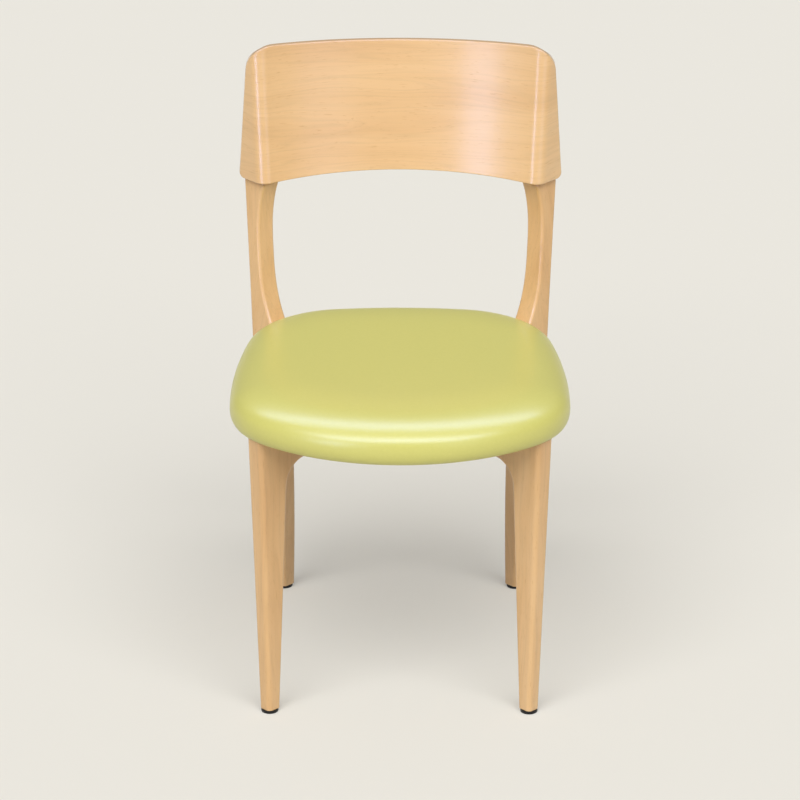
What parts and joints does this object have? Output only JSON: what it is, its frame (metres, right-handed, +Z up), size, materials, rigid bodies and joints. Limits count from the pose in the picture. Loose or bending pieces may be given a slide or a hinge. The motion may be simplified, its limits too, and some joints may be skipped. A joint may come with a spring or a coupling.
{
  "type": "dining side chair",
  "caption": "Wooden side chair with a bent plywood backrest wrapped round two raked posts, a rounded upholstered seat pad and tapered diagonal legs with floor glides.",
  "frame": {"origin": "on the floor, below the middle of the chair's bounding box", "axes": "+Z up, the sitter faces -Y, +X to the right seen from the front"},
  "size_m": [0.466, 0.5722, 0.8356],
  "materials": {
    "plywood": "satin lacquered beech veneer, grain running across",
    "beech": "satin lacquered solid beech, grain running along each piece",
    "board": "raw plywood",
    "foam": "open-cell foam",
    "cover": "smooth yellow-green vinyl, soft sheen",
    "dust_cloth": "black non-woven cloth",
    "steel": "zinc plated",
    "glide": "moulded black"
  },
  "bodies": {
    "root": {"backrest_panel": "plywood", "rear_leg_left": "beech", "rear_leg_right": "beech", "front_leg_left": "beech", "front_leg_right": "beech", "front_rail": "beech", "rear_rail": "beech", "side_rail_left": "beech", "side_rail_right": "beech", "corner_block_front_left": "beech", "corner_block_front_right": "beech", "corner_block_rear_left": "beech", "corner_block_rear_right": "beech", "rail_dowels": "beech", "back_plugs": "beech", "seat_board": "board", "seat_foam": "foam", "seat_cover": "cover", "dust_cover": "dust_cloth", "seat_bolts": "steel", "seat_tee_nuts": "steel", "block_screws": "steel", "back_screws": "steel", "glide_pins": "steel", "glide_front_left": "glide", "glide_front_right": "glide", "glide_rear_left": "glide", "glide_rear_right": "glide"}
  },
  "joints": []
}
